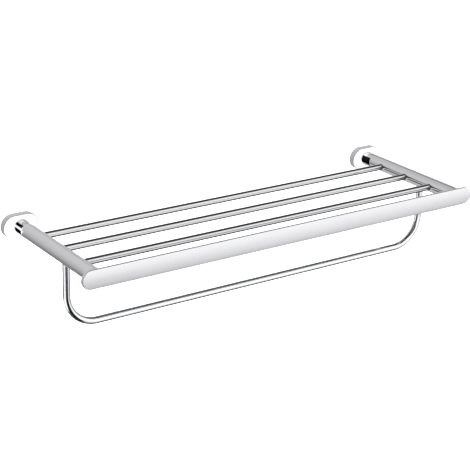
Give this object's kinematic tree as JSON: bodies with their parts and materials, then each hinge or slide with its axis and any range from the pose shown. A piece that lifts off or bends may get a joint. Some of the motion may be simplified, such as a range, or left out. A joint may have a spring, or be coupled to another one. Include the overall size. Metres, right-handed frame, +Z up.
{
  "type": "towel rack with shelf",
  "caption": "Wall-hung towel rack: a shelf of slim rods between two round arms on wall posts, with a flat round-ended front rail and a bent towel bar below.",
  "frame": {"origin": "on the wall, midway between the arms, at the height of the arms' centre lines", "axes": "+X along the front rail to the right seen from the front, +Y into the wall, +Z up"},
  "size_m": [0.608, 0.2062, 0.1127],
  "materials": {
    "polished_chrome": "polished chrome plate",
    "satin_chrome": "satin chrome plate, softly reflecting",
    "plated_steel": "zinc-plated steel, hidden",
    "screw_steel": "stainless steel set screws"
  },
  "bodies": {
    "root": {"wall_bracket_left": "plated_steel", "wall_bracket_right": "plated_steel", "rosette_left": "satin_chrome", "rosette_right": "satin_chrome", "post_left": "polished_chrome", "post_right": "polished_chrome", "arm_left": "satin_chrome", "arm_right": "satin_chrome", "shelf_rod_rear": "polished_chrome", "shelf_rod_middle": "polished_chrome", "shelf_rod_front": "polished_chrome", "front_rail": "satin_chrome", "rail_spigots": "plated_steel", "towel_bar": "polished_chrome", "bar_end_pins": "plated_steel", "arm_screws": "plated_steel", "arm_screw_washers": "plated_steel", "rosette_set_screws": "screw_steel", "rod_set_screws": "screw_steel", "rail_set_screws": "screw_steel"}
  },
  "joints": []
}
